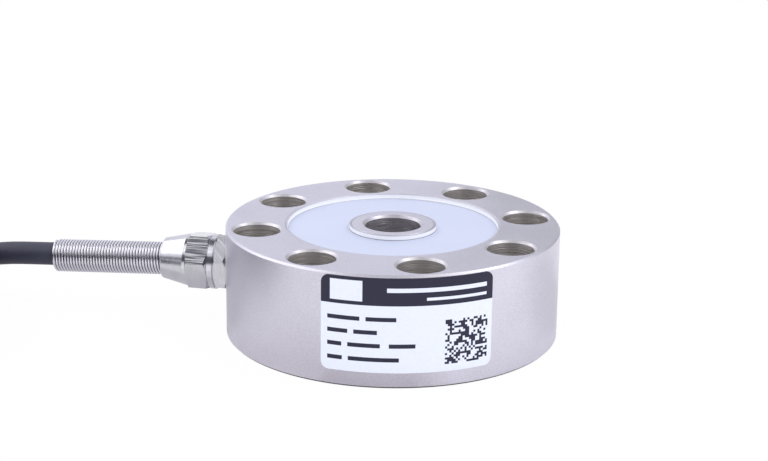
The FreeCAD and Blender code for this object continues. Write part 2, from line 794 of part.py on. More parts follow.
def make_spring():
    """Close-wound turns as ridges on a sleeve, from the nut's shoulder to the free end."""
    body = new_body("relief_spring")
    crest = size["spring_diameter"] / 2
    groove = crest - size["spring_groove"]
    inner = crest - size["spring_wire"]
    flange = flange_radius
    flange_end = size["spring_flange_length"]
    root = size["spring_root"] / 2 + size["spring_groove"]
    pitch = size["spring_pitch"]
    turns = size["spring_turns"]
    length = spring_mouth + pitch * turns
    turned(body, "sleeve", [
        (inner, 0),
        (flange, 0),
        (flange, flange_end),
        (root, flange_end),
        (root, spring_mouth),
        (groove, spring_mouth),
        (groove, length),
        (inner, length),
    ])
    sketch = new_sketch(body, "turn_outline", "XZ_Plane")
    middle = spring_mouth + pitch / 2
    draw_outline(sketch, [(inner, spring_mouth), (groove, spring_mouth), (crest, middle),
                          (groove, spring_mouth + pitch), (inner, spring_mouth + pitch)])
    turn = body.newObject("PartDesign::Revolution", "turn")
    turn.Profile = sketch
    turn.ReferenceAxis = (sketch, ["V_Axis"])
    turn.Angle = 360
    doc.recompute()
    pattern = body.newObject("PartDesign::LinearPattern", "turns")
    pattern.Originals = [turn]
    pattern.Direction = (sketch, ["V_Axis"])
    bind(pattern, "Length", pitch * (turns - 1))
    bind(pattern, "Occurrences", turns)
    body.Tip = pattern
    lean = Rotation(Vector(0, 1, 0), -size["spring_droop"].value)
    rise = (nut_seat + nut_length - spring_start) / 2 * droop_sine
    body.Placement = Placement(Vector(-spring_start.value, 0, (gland_height + rise).value), lean * TOWARDS_GLAND)
    bind(body, "Placement.Base.x", -spring_start)
    bind(body, "Placement.Base.z", gland_height + rise)


coil_width = size["cable_diameter"] * size["coil_rows"] + size["coil_slack"] * 2
coil_height = size["cable_diameter"] * size["coil_layers"] + size["coil_slack"] * 2
coil_inner = (size["coil_across"] - coil_width) / 2
coil_outer = (size["coil_across"] + coil_width) / 2
coil_base = size["tie_thickness"] + size["tie_fit"]
coil_level = coil_base + size["coil_slack"] + cable_radius
coil_x = -rim_radius - size["coil_distance"]
coil_y = -coil_outer + size["coil_slack"] + cable_radius + size["coil_side"]
COIL_MIDDLE = Vector(coil_x.value, coil_y.value, 0)

# Where the cable lies: shares of the way from the rim to the coil, of its drop from the gland to the coil,
# and of its swing to the side.
CABLE_ROUTE = [(0.156, 0, 0), (0.484, 0.1605, 0), (0.668, 0.2713, 0), (0.84, 0.9612, 1), (1, 1, 1)]


def make_coil():
    """The outer shape of the coiled length, raised by the straps under it."""
    body = new_body("cable_coil")
    turned(body, "ring", [(coil_inner, 0), (coil_outer, 0), (coil_outer, coil_height), (coil_inner, coil_height)])

    def ring_edges(base):
        return [name for radius in (coil_inner, coil_outer) for height in (ZERO, coil_height)
                for name in round_edges(base, radius, height)]

    dress(body, "PartDesign::Chamfer", "bevelled_edges", size["coil_edge"], ring_edges)
    body.Placement = Placement(COIL_MIDDLE + Vector(0, 0, coil_base.value), Rotation())
    bind(body, "Placement.Base.x", coil_x)
    bind(body, "Placement.Base.y", coil_y)
    bind(body, "Placement.Base.z", coil_base)
    return body


def make_cable(coil):
    """The cable from inside the gland to its coil, which it meets face to face."""
    points = [Vector(-cable_inner_end.value, 0, gland_height.value)]
    for way, drop, swing in CABLE_ROUTE:
        out = rim_radius + size["coil_distance"] * way
        height = gland_height + (coil_level - gland_height) * drop
        points.append(Vector(-out.value, (size["coil_side"] * swing).value, height.value))
    tube = make_tube("cable_run", points, size["cable_diameter"], told="cable")
    cable = doc.addObject("Part::Cut", "cable")
    cable.Base = tube
    cable.Tool = coil
    sub_part(cable, "cable")


# The loose end on top of the coil: degrees round the coil.
TAIL_ROUTE = [158, 181, 204, 227, 249, 270]
# Each core: degrees round the sheath's end, and how far it fans out.
CORES = [
    ("core_red", 18, 8),
    ("core_black", 306, 6.6),
    ("core_green", 90, 5.2),
    ("core_white", 234, 3.8),
    ("core_shield", 162, 2.6),
]


def coil_point(angle, distance, height):
    turn = math.radians(angle)
    return COIL_MIDDLE + Vector(distance * math.cos(turn), distance * math.sin(turn), height)


def make_tail():
    """The last stretch of cable, lying on the coil, and the bare cores at its end."""
    coil_top = (coil_base + coil_height).value
    level = coil_top + cable_radius.value + size["contact_gap"].value
    points = [coil_point(angle, size["tail_reach"].value, level) for angle in TAIL_ROUTE]
    sub_part(make_tube("cable_tail", points, size["cable_diameter"], told="tail"), "cable_tail")

    end = points[-1]
    ahead = points[-1] - points[-2]
    ahead.normalize()
    side = Vector(-ahead.y, ahead.x, 0)
    core_radius = size["core_diameter"].value / 2
    low = coil_top + core_radius + size["contact_gap"].value
    for label, turn, fan in CORES:
        circle = size["core_circle"].value / 2
        across = circle * math.cos(math.radians(turn))
        start = end + side * across + Vector(0, 0, circle * math.sin(math.radians(turn)))
        bend = start + ahead * 9
        tip = start + ahead * 18 + side * fan
        tip.z = (bend.z + low) / 2
        last = tip + ahead * 13 + side * fan
        last.z = low
        sub_part(make_tube(label, [start, bend, tip, last], size["core_diameter"]), label)


TIE_ANGLES = {"cable_tie_1": 115, "cable_tie_2": 325}


def make_tie(label, angle):
    """A strap round the coil's section with its lock on the outside."""
    body = new_body(label)
    fit = size["tie_fit"]
    thickness = size["tie_thickness"]
    half_width = coil_width / 2 + fit
    # the strap is straight across, so the coil's curve needs room on its inside
    inside = half_width + size["tie_width"] * size["tie_width"] / (coil_inner * 8)
    height = coil_height + fit * 2
    outline = new_sketch(body, "strap_outline", "XZ_Plane")
    draw_outline(outline, [
        (-inside - thickness, 0),
        (half_width + thickness, 0),
        (half_width + thickness, height + thickness * 2),
        (-inside - thickness, height + thickness * 2),
    ])
    draw_outline(outline, [
        (-inside, thickness),
        (half_width, thickness),
        (half_width, thickness + height),
        (-inside, thickness + height),
    ])
    strap = body.newObject("PartDesign::Pad", "strap")
    strap.Profile = outline
    strap.Midplane = True
    bind(strap, "Length", size["tie_width"])

    def corners_at(base, *distances):
        """Edges across the strap, at these distances from its middle."""
        return [f"Edge{number}" for number, edge in enumerate(base.Shape.Edges, start=1)
                if abs(edge.tangentAt(edge.FirstParameter).y) > 0.999
                and any(abs(edge.CenterOfMass.x - distance.value) < 1e-4 for distance in distances)]

    dress(body, "PartDesign::Fillet", "inner_corners", size["coil_edge"],
          lambda base: corners_at(base, half_width, -inside))
    dress(body, "PartDesign::Fillet", "outer_corners", size["coil_edge"] + thickness,
          lambda base: corners_at(base, half_width + thickness, -inside - thickness))
    lock_outline = new_sketch(body, "lock_outline", "XZ_Plane")
    lock_low = thickness + height / 2 - size["tie_head_length"] / 2
    lock_start = half_width + fit
    draw_outline(lock_outline, [
        (lock_start, lock_low),
        (half_width + thickness + size["tie_head_depth"], lock_low),
        (half_width + thickness + size["tie_head_depth"], lock_low + size["tie_head_length"]),
        (lock_start, lock_low + size["tie_head_length"]),
    ])
    lock = body.newObject("PartDesign::Pad", "lock")
    lock.Profile = lock_outline
    lock.Midplane = True
    bind(lock, "Length", size["tie_head_width"])
    middle = coil_point(angle, size["coil_across"].value / 2, 0)
    body.Placement = Placement(middle, Rotation(Vector(0, 0, 1), angle))


def make_label():
    """A curved label on the rim's side."""
    body = new_body("rating_label")
    outer = rim_radius + size["label_thickness"]
    half_turn = size["label_width"].value / rim_radius.value / 2
    sketch = new_sketch(body, "label_outline", "XY_Plane")
    start = Vector(math.cos(half_turn), -math.sin(half_turn), 0)
    end = Vector(math.cos(half_turn), math.sin(half_turn), 0)
    middle = Vector(1, 0, 0)
    sketch.addGeometry([
        Part.LineSegment(start * rim_radius.value, start * outer.value),
        Part.Arc(start * outer.value, middle * outer.value, end * outer.value),
        Part.LineSegment(end * outer.value, end * rim_radius.value),
        Part.Arc(start * rim_radius.value, middle * rim_radius.value, end * rim_radius.value),
    ])
    for joint in ((0, 2, 1, 1), (1, 2, 2, 1), (2, 2, 3, 2), (3, 1, 0, 1)):
        sketch.addConstraint(Sketcher.Constraint("Coincident", *joint))
    for ring in (1, 3):
        sketch.addConstraint(Sketcher.Constraint("Coincident", ring, 3, -1, 1))
    constrain(sketch, "Radius", 1, length=outer)
    constrain(sketch, "Radius", 3, length=rim_radius)
    reach = Length(rim_radius.value * math.sin(half_turn),
                   f"{rim_radius.text} * sin({size['label_width'].text} / {rim_radius.text} / 2 * 1 rad)")
    constrain(sketch, "DistanceY", -1, 1, 2, 2, length=reach)
    constrain(sketch, "DistanceY", 0, 1, -1, 1, length=reach)
    sketch.addConstraint(Sketcher.Constraint("PointOnObject", -1, 1, 0))
    sketch.addConstraint(Sketcher.Constraint("PointOnObject", -1, 1, 2))
    pad = body.newObject("PartDesign::Pad", "label_sheet")
    pad.Profile = sketch
    bind(pad, "Length", size["label_height"])

    def corners(base):
        limit = size["label_thickness"].value * 1.01
        return [f"Edge{number}" for number, edge in enumerate(base.Shape.Edges, start=1) if edge.Length < limit]

    dress(body, "PartDesign::Fillet", "label_corners", size["label_corner"], corners)
    turn = Rotation(Vector(0, 0, 1), size["label_turn"].value)
    body.Placement = Placement(Vector(0, 0, size["label_bottom"].value), turn)
    bind(body, "Placement.Base.z", size["label_bottom"])


def write_parts():
    """Check every object and write each sub-part to its own file."""
    doc.recompute()
    for feature in doc.Objects:
        if "Invalid" in feature.State or "Error" in feature.State:
            raise RuntimeError(f"{feature.Label} failed: {feature.State}")
    os.makedirs("parts", exist_ok=True)
    for part in parts:
        shape = part.Shape
        if shape.isNull() or not shape.isValid() or len(shape.Solids) != 1:
            raise RuntimeError(f"{part.Label} isn't one valid solid")
    for part in parts:
        part.Shape.exportStep(f"parts/{part.Label}.step")
        print(f"{part.Label}: {part.Shape.Volume:.2f} cubic mm")


make_sensor_body()
make_covers()
make_gauges()
make_board()
make_wiring()
make_leads()
make_washer()
make_gland_body()
make_seal()
make_clamp_ring()
make_nut()
make_spring()
make_cable(make_coil())
make_tail()
for tie_label, tie_angle in TIE_ANGLES.items():
    make_tie(tie_label, tie_angle)
make_label()
write_parts()
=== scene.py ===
"""Spoke type load cell: finishes, spring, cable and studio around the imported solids.

Metres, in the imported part's own frame: the origin is under the middle of the rim, +Z is up and the gland
points along -X. The cable's route and the label's marks are written in millimetres.
"""

import math

import bpy
from mathutils import Matrix, Vector


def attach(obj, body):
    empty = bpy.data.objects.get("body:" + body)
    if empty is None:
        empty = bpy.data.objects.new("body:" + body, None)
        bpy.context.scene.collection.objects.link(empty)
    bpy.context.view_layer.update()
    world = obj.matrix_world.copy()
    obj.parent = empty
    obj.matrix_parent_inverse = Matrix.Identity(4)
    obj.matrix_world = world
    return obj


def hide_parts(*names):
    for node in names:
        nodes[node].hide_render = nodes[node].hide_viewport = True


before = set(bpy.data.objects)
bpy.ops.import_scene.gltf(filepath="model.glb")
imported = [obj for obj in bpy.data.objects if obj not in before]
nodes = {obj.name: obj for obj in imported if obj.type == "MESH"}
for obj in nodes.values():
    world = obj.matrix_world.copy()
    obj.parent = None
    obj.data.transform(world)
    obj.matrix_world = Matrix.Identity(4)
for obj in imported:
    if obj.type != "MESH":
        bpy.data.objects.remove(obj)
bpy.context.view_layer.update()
scene = bpy.context.scene


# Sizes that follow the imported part

MM = 0.001
MIDDLE_HEIGHT = 17.5 * MM
MIDDLE = Vector((0, 0, MIDDLE_HEIGHT))
GLAND_HEIGHT = 18 * MM
SPRING_START = -66.09 * MM
SPRING_HEIGHT = 18.22 * MM
SPRING_DROOP = math.radians(2.8)
COIL_MIDDLE = (-177.5 * MM, -46.75 * MM)
# Upright faces nearer to the axis than the first are holes and bores, nearer than the second the hub's bore.
HOLES_REACH = 50.5 * MM
BORE_REACH = 14 * MM
# A cover's turned-up edges: the two heights from the middle between which they turn, their top, and the
# distance from the axis within which the inner one of them lies.
EDGE_FOOT = 15.9 * MM
EDGE_TURNED = 16.3 * MM
EDGE_TOP = 17.385 * MM
INNER_EDGE_REACH = 20 * MM


# Camera

IMAGE_WIDTH = 768
SENSOR_WIDTH = 36
FOCAL_PIXELS = 1931.79
CAMERA_TURN = math.radians(11.2)
CAMERA_RISE = math.radians(18.4)
CAMERA_ROLL = 0.0138
CAMERA_DISTANCE = 0.61291
# Where the middle of the rim lies in the picture, in pixels from the picture's own middle.
PIXELS_RIGHT = 8.135
PIXELS_DOWN = 45.63


def set_camera():
    """The photograph's view: a long lens, a little above the rim, with a slight roll."""
    back = Vector((math.sin(CAMERA_TURN) * math.cos(CAMERA_RISE),
                   -math.cos(CAMERA_TURN) * math.cos(CAMERA_RISE),
                   math.sin(CAMERA_RISE)))
    right = Vector((math.cos(CAMERA_TURN), math.sin(CAMERA_TURN), 0))
    up = back.cross(right)
    rolled_right = right * math.cos(CAMERA_ROLL) + up * math.sin(CAMERA_ROLL)
    rolled_up = up * math.cos(CAMERA_ROLL) - right * math.sin(CAMERA_ROLL)
    ahead = -back - rolled_right * (PIXELS_RIGHT / FOCAL_PIXELS) + rolled_up * (PIXELS_DOWN / FOCAL_PIXELS)
    ahead.normalize()
    right = rolled_right - ahead * rolled_right.dot(ahead)
    right.normalize()
    up = right.cross(ahead)

    data = bpy.data.cameras.new("camera")
    data.sensor_width = SENSOR_WIDTH
    data.lens = FOCAL_PIXELS * SENSOR_WIDTH / IMAGE_WIDTH
    data.clip_start = 0.01
    data.clip_end = 50
    camera = bpy.data.objects.new("camera", data)
    scene.collection.objects.link(camera)
    turn = Matrix((right, up, -ahead)).transposed().to_4x4()
    camera.matrix_world = Matrix.Translation(MIDDLE + back * CAMERA_DISTANCE) @ turn
    scene.camera = camera


# Node trees

class Wire:
    """A socket in a node tree. Python's operators on it add Math nodes, and node() adds any other node."""

    def __init__(self, tree, socket=None):
        self.tree = tree
        self.socket = socket

    def node(self, kind, settings=None, links=None, out=0):
        """A node with its settings first, then the values or links of its sockets. Gives back one output."""
        made = self.tree.nodes.new(kind)
        for name, value in (settings or {}).items():
            setattr(made, name, value)
        for key, value in (links or {}).items():
            if isinstance(value, Wire):
                self.tree.links.new(value.socket, made.inputs[key])
            else:
                made.inputs[key].default_value = value
        return Wire(self.tree, made.outputs[out])

    def math(self, operation, *values):
        return self.node("ShaderNodeMath", {"operation": operation}, dict(enumerate((self, *values))))

    def __add__(self, other):
        return self.math("ADD", other)

    __radd__ = __add__

    def __mul__(self, other):
        return self.math("MULTIPLY", other)

    __rmul__ = __mul__

    def __sub__(self, other):
        return self.math("SUBTRACT", other)

    def __rsub__(self, other):
        return self.math("MULTIPLY_ADD", -1, other)

    def __truediv__(self, other):
        return self.math("DIVIDE", other)

    def __pow__(self, other):
        return self.math("POWER", other)

    def __abs__(self):
        return self.math("ABSOLUTE")

    def __gt__(self, other):
        return self.math("GREATER_THAN", other)

    def __lt__(self, other):
        return self.math("LESS_THAN", other)

    def __mod__(self, other):
        return self.math("FLOORED_MODULO", other)

    def __or__(self, other):
        """Either of two masks."""
        return self.math("MAXIMUM", other)

    def between(self, low, high):
        return (self > low) * (self < high)

    def ease(self, low, high):
        """Runs smoothly from 0 to 1 while this value runs from low to high."""
        return self.node("ShaderNodeMapRange", {"interpolation_type": "SMOOTHSTEP"},
                         {"Value": self, "From Min": low, "From Max": high})

    def split(self):
        first = self.node("ShaderNodeSeparateXYZ", None, {0: self})
        return [Wire(self.tree, output) for output in first.socket.node.outputs]

    def join(self, *values):
        return self.node("ShaderNodeCombineXYZ", None, dict(enumerate(values)))

    def noise(self, scale, detail=2, roughness=0.5):
        """Noise at this place."""
        return self.node("ShaderNodeTexNoise", None,
                         {"Vector": self, "Scale": scale, "Detail": detail, "Roughness": roughness})

    def blend(self, first, second):
        """Two colours by this mask."""
        return self.node("ShaderNodeMix", {"data_type": "RGBA"}, {0: self, 6: first, 7: second}, out=2)

    def bump(self, depth):
        """A normal with this height on it, depth metres for a height of 1."""
        return self.node("ShaderNodeBump", None, {"Height": self, "Distance": depth})


def colour(red, green, blue):
    return (red, green, blue, 1)


class Finish:
    """A material, with the places that its pattern is drawn by."""

    def __init__(self, name, **constants):
        self.material = bpy.data.materials.new(name)
        self.material.use_nodes = True
        tree = self.material.node_tree
        self.shader = tree.nodes["Principled BSDF"]
        self.wire = Wire(tree)
        for key, value in constants.items():
            self.shader.inputs[key.replace("_", " ")].default_value = value
        self.place = self.wire.node("ShaderNodeTexCoord", out="Object")
        self.x, self.y, self.z = self.place.split()

    def put(self, socket, value):
        self.wire.tree.links.new(value.socket, self.shader.inputs[socket])

    def radius(self):
        """Distance from the body's axis."""
        return (self.x * self.x + self.y * self.y) ** 0.5

    def angle(self):
        """Angle round the body's axis."""
        return self.y.math("ARCTAN2", self.x)

    def facing_up(self):
        """1 on faces that look straight up or down, 0 on upright ones."""
        normal = self.wire.node("ShaderNodeNewGeometry", out="Normal")
        return abs(normal.split()[2])


# Metal finishes

def satin_nickel():
    """Nickel plating over the turned and drilled steel body."""
    finish = Finish("satin_nickel")
    radius = finish.radius()
    angle = finish.angle()
    flat = finish.facing_up().ease(0.6, 0.8)
    walls = (1 - flat) * (radius < HOLES_REACH)
    bore = radius < BORE_REACH
    across_cut = radius * flat + finish.z * (1 - flat)
    turning = finish.wire.join(across_cut * 2600, angle * 2.5, 0).noise(1, 3, 0.6)
    drilling = finish.wire.join(finish.z * 3300, angle * 1.5, 7).noise(1, 1.5)
    grain = finish.place.noise(1900, 3, 0.65)
    cloud = finish.place.noise(45)
    tone = (grain * 0.65 + cloud * 0.35).ease(0.3, 0.7)
    plated = tone.blend(colour(0.607, 0.591, 0.66), colour(0.722, 0.706, 0.786))
    drilled = drilling.ease(0.3, 0.7).blend(colour(0.57, 0.54, 0.525), colour(0.73, 0.7, 0.685))
    bored = drilling.ease(0.2, 0.8).blend(colour(0.42, 0.4, 0.43), colour(0.6, 0.575, 0.62))
    cut = bore.blend(drilled, bored)
    finish.put("Base Color", walls.blend(plated, cut))
    finish.put("Metallic", 1 - walls * 0.2)
    finish.put("Roughness", 0.31 + grain * 0.1 + cloud * 0.05 - walls * 0.08)
    marks = turning * (1 - walls) + drilling * walls * (26 - bore * 6) + grain * (0.8 - walls * 0.8)
    finish.put("Normal", marks.bump(7e-6))
    return finish.material


def pressed_sheet():
    """Bright sheet of the covers, with faint rolling lines, painted shade in the creases of the turned-up
    edges, and near-white edges that are partly a pale bead and partly a painted highlight.
    """
    finish = Finish("pressed_sheet", Specular_IOR_Level=0.4)
    height = abs(finish.z - MIDDLE_HEIGHT)
    turned = height.ease(EDGE_FOOT, EDGE_TURNED)
    top = height > EDGE_TOP
    edge = turned * (1 - top)
    inner = finish.radius() < INNER_EDGE_REACH
    # Painted shade: a dark line in the crease where the sheet turns up, stronger on the inner edge, and a
    # faint one along the inner edge's top.
    painted_crease_shade = turned * (1 - turned) * (2 + inner * 1.6) | top * inner * 0.25
    rolled = finish.wire.join(finish.x * 30, finish.y * 2500, finish.z * 30).noise(1, 3, 0.6)
    cloud = finish.place.noise(35)
    sheet = cloud.ease(0.3, 0.7).blend(colour(0.59, 0.63, 0.785), colour(0.605, 0.645, 0.8))
    # Painted highlight: the turned-up edges are near white, partly as a pale bead round the cover.
    edges_with_painted_highlight = edge.blend(top.blend(sheet, colour(0.66, 0.66, 0.74)), colour(0.95, 0.955, 0.98))
    finish.put("Base Color", painted_crease_shade.blend(edges_with_painted_highlight, colour(0.1, 0.1, 0.13)))
    finish.put("Metallic", 0.3 - edge * 0.15 + top * 0.6)
    finish.put("Roughness", 0.46 + rolled * 0.06 + cloud * 0.04 - edge * 0.06)
    finish.put("Normal", rolled.bump(1.5e-6))
    return finish.material


# Brushed flats of a hex: where they start and end along the gland, the angle that one of them faces, how many
# lines they have in a metre, and the lines' slant, depth and darkness.
NUT_FLATS = {"start": -66.1 * MM, "end": -59.1 * MM, "facing": math.radians(-51),
             "lines": 2700, "slant": 0, "depth": 11, "dark": 0.97}
BODY_FLATS = {"start": -56.7 * MM, "end": -52.4 * MM, "facing": math.radians(-45.4),
              "lines": 1800, "slant": 0.7, "depth": 5, "dark": 0.25}


def turned_nickel(name, base, roughness, hexes=()):
    """Plated brass of the gland: turning marks round its axis, and brushed lines on every other flat."""
    finish = Finish(name, Metallic=1.0)
    angle = finish.y.math("ARCTAN2", finish.z - GLAND_HEIGHT)
    fine = finish.wire.join(finish.x * 3600, angle * 1.6, 3).noise(1, 3, 0.65)
    coarse = finish.wire.join(finish.x * 900, angle * 2.2, 5).noise(1)
    cloud = finish.place.noise(160)
    deep = [part * 0.86 for part in base]
    tone = (cloud * 0.6 + fine * 0.4).ease(0.3, 0.7).blend(colour(*deep), colour(*base))
    finish.put("Roughness", roughness + fine * 0.1 + cloud * 0.05)
    marks = fine + coarse * 1.6
    for flats in hexes:
        every_other = ((angle - flats["facing"]) * 3).math("COSINE") > 0
        brushed = finish.x.between(flats["start"], flats["end"]) * every_other
        slid = finish.x * flats["slant"]
        lines = finish.wire.join(finish.x * 90, (finish.y + slid) * flats["lines"],
                                 (finish.z + slid) * flats["lines"]).noise(1)
        tone = (brushed * lines.ease(0.72, 0.42) * flats["dark"]).blend(tone, colour(0.1, 0.1, 0.115))
        marks = marks * (1 - brushed) + lines * brushed * flats["depth"]
    finish.put("Base Color", tone)
    finish.put("Normal", marks.bump(6e-6))
    return finish.material


def spring_wire():
    """Drawn stainless wire, with fine lines along it, and painted shade with a little oil in the grooves
    between the turns.
    """
    finish = Finish("spring_wire", Metallic=1.0)
    level = finish.z - SPRING_HEIGHT - (finish.x - SPRING_START) * math.tan(SPRING_DROOP)
    out = (finish.y * finish.y + level * level) ** 0.5
    drawn = finish.wire.join(finish.x * 9000, finish.y * 120, level * 120).noise(1, 2, 0.6)
    cloud = finish.place.noise(220)
    # Painted shade: the wire darkens towards the grooves between the turns, where a little oil also lies.
    crest = out.ease(4.92 * MM, 5.3 * MM)
    finish.put("Base Color", crest.blend(colour(0.12, 0.12, 0.14), colour(0.78, 0.77, 0.83)))
    finish.put("Roughness", 0.18 + drawn * 0.1 + cloud * 0.04)
    finish.put("Normal", drawn.bump(1e-6))
    return finish.material


# Plastics, rubber and the cable's wires

def cable_sheath():
    """Black sheath of soft plastic, with a fine grain and a dull bloom."""
    finish = Finish("cable_sheath", Specular_IOR_Level=0.45)
    grain = finish.place.noise(900, 3, 0.6)
    cloud = finish.place.noise(70, 3, 0.55)
    black = cloud.ease(0.35, 0.7).blend(colour(0.035, 0.036, 0.064), colour(0.048, 0.049, 0.08))
    finish.put("Base Color", black)
    finish.put("Roughness", 0.4 + grain * 0.12 + cloud * 0.1)
    finish.put("Normal", (grain + cloud * 2).bump(1.2e-5))
    return finish.material


def core_sleeve(name, base):
    """Coloured sleeve of one core."""
    finish = Finish(name, Specular_IOR_Level=0.5)
    grain = finish.place.noise(1600)
    cloud = finish.place.noise(260)
    pale = [part * 1.25 + 0.01 for part in base]
    finish.put("Base Color", cloud.ease(0.3, 0.75).blend(colour(*base), colour(*pale)))
    finish.put("Roughness", 0.32 + grain * 0.15)
    finish.put("Normal", grain.bump(6e-6))
    return finish.material


def shield_braid():
    """The cable's shield: tinned strands that cross each other."""
    finish = Finish("shield_braid", Metallic=1.0)
    strands = 1100 * math.tau
    one = ((finish.x + finish.z) * strands).math("SINE")
    two = ((finish.x - finish.z) * strands).math("SINE")
    weave = (one | two).ease(-0.2, 1.0)
    finish.put("Base Color", weave.blend(colour(0.3, 0.26, 0.22), colour(0.74, 0.7, 0.66)))
    finish.put("Roughness", 0.45 - weave * 0.15)
    finish.put("Normal", weave.bump(8e-5))
    return finish.material


def tie_nylon(name, angle):
    """Nylon strap with fine ridges across it, for a tie at that angle round the coil."""
    finish = Finish(name, Specular_IOR_Level=0.5)
    turn = math.radians(angle)
    ridge = 900 * math.tau
    out = (finish.x - COIL_MIDDLE[0]) * math.cos(turn) + (finish.y - COIL_MIDDLE[1]) * math.sin(turn)
    ridges = ((out * ridge).math("SINE") + (finish.z * ridge).math("SINE")) * 0.5
    grain = finish.place.noise(700)
    black = grain.ease(0.3, 0.7).blend(colour(0.018, 0.018, 0.02), colour(0.03, 0.03, 0.033))
    finish.put("Base Color", black)
    finish.put("Roughness", 0.38 + grain * 0.15)
    finish.put("Normal", (ridges + grain).bump(2.5e-5))
    return finish.material


def seal_rubber():
    """Black rubber with a fine grain, for the seal in the gland."""
    finish = Finish("seal_rubber", Specular_IOR_Level=0.35)
    grain = finish.place.noise(1200, 3, 0.6)
    black = grain.ease(0.3, 0.7).blend(colour(0.014, 0.014, 0.014), colour(0.02, 0.02, 0.02))
    finish.put("Base Color", black)
    finish.put("Roughness", 0.6 + grain * 0.2)
    finish.put("Normal", grain.bump(2e-5))
    return finish.material


# The pieces on the spokes

DIAGONAL = math.sqrt(0.5)
# A gauge's grid: its start and end along the spoke, half its width, and the pitch of its strips.
GRID_START = 18.2 * MM
GRID_END = 24.3 * MM
GRID_HALF = 2.3 * MM
STRIP_PITCH = 0.36 * MM
# The board's four pads in a row: their start and pitch along the spoke, and their place and half width
# across it.
PADS_START = 21.3 * MM
PAD_PITCH = 2.2 * MM
PADS_END = PADS_START + 4 * PAD_PITCH
PADS_ASIDE = 2.1 * MM
PAD_HALF = 0.9 * MM
# A resistor's place across the spoke, and how far from its middle its tinned ends begin.
CHIP_ASIDE = 2.1 * MM
CHIP_END = 1.15 * MM


def along_spoke(finish):
    """Distance out along any of the four spokes, which lie halfway between the axes."""
    return (abs(finish.x) + abs(finish.y)) * DIAGONAL


def across_spoke(finish):
    """Distance to the side of the spoke that carries the board."""
    return (finish.x - finish.y) * DIAGONAL


def gauge_foil():
    """Amber carrier with a foil grid along the spoke and two solder tabs."""
    finish = Finish("gauge_foil")
    out = along_spoke(finish)
    level = finish.z - MIDDLE_HEIGHT
    wide = abs(level) < GRID_HALF
    strip = ((level / STRIP_PITCH) % 1) < 0.6
    grid = out.between(GRID_START, GRID_END) * wide
    loops = (out.between(18.0 * MM, 18.3 * MM) | out.between(24.2 * MM, 24.5 * MM)) * wide
    tabs = out.between(24.8 * MM, 26.2 * MM) * abs(level).between(0.5 * MM, 2.2 * MM)
    foil = grid * strip | loops | tabs
    grain = finish.place.noise(1500)
    amber = grain.ease(0.3, 0.7).blend(colour(0.55, 0.27, 0.04), colour(0.66, 0.36, 0.08))
    finish.put("Base Color", foil.blend(amber, colour(0.72, 0.68, 0.62)))
    finish.put("Metallic", foil)
    finish.put("Roughness", 0.45 - foil * 0.12 + grain * 0.1)
    finish.put("Normal", (foil + grain * 0.2).bump(1.5e-5))
    return finish.material


def terminal_board():
    """Green mask over copper tracks, with four tinned pads."""
    finish = Finish("terminal_board")
    out = along_spoke(finish)
    across = across_spoke(finish)
    step = abs(((out - PADS_START) / PAD_PITCH) % 1 - 0.5)
    row = out.between(PADS_START, PADS_END)
    pads = row * (step < 0.3) * (abs(across + PADS_ASIDE) < PAD_HALF)
    tracks = row * (step < 0.09) * across.between(-1.4 * MM, 1.2 * MM)
    grain = finish.place.noise(900)
    mask = tracks.blend(colour(0.012, 0.12, 0.045), colour(0.03, 0.22, 0.08))
    finish.put("Base Color", pads.blend(mask, colour(0.75, 0.74, 0.72)))
    finish.put("Metallic", pads)
    finish.put("Roughness", 0.35 + grain * 0.15)
    finish.put("Normal", (pads | tracks * 0.6).bump(4e-5))
    return finish.material


def chip_resistor():
    """Black chip with tinned ends."""
    finish = Finish("chip_resistor")
    ends = abs(across_spoke(finish) - CHIP_ASIDE) > CHIP_END
    grain = finish.place.noise(2200)
    finish.put("Base Color", ends.blend(colour(0.015, 0.015, 0.018), colour(0.72, 0.72, 0.71)))
    finish.put("Metallic", ends)
    finish.put("Roughness", 0.4 + grain * 0.2)
    finish.put("Normal", (grain + ends).bump(1e-5))
    return finish.material


def fine_wires():
    """The bundle of fine lacquered wires on the spokes."""
    finish = Finish("fine_wires")
    lay = ((finish.radius() + finish.z) * 2600 + finish.angle() * 6) * math.tau
    strands = lay.math("SINE").ease(-0.6, 0.8)
    finish.put("Base Color", strands.blend(colour(0.16, 0.05, 0.01), colour(0.62, 0.27, 0.08)))
    finish.put("Roughness", 0.42 - strands * 0.15)
    finish.put("Normal", strands.bump(6e-5))
    return finish.material


# The label

# Marks are placed in millimetres: along the film from this angle round the body, and up from the floor.
LABEL_ZERO = math.radians(-78.8)
LABEL_RADIUS = 52.6
BAND_LOW = 25.75
# Pale blocks in the dark band: left, right, low and high.
BAND_BLOCKS = ((-18.4, -8.6, 26.9, 33.2), (-1.4, 29.2, 29.9, 31.2), (10.25, 29.2, 27.3, 28.2))
# Rows of dark bars on the white field: the row's lower edge, then where its bars start and end.
BAR_HEIGHT = 1.3
BAR_ROWS = (
    (20.9, ((-19.2, -9.4), (-7.6, 1.4))),
    (16.8, ((-19.2, -13.0), (-11.2, -4.2))),
    (12.7, ((-19.2, -14.8), (-13.0, -3.3), (-0.7, 7.1))),
    (8.4, ((-19.2, -14.6), (-12.8, 2.3))),
)
# The patch of small squares: one square's side, how many in a row, the patch's corner, and the share of
# squares left bare.
SQUARE = 0.69
SQUARES_IN_ROW = 20
SQUARES_LEFT = 16.0
SQUARES_LOW = 7.2
SQUARES_BARE = 0.48


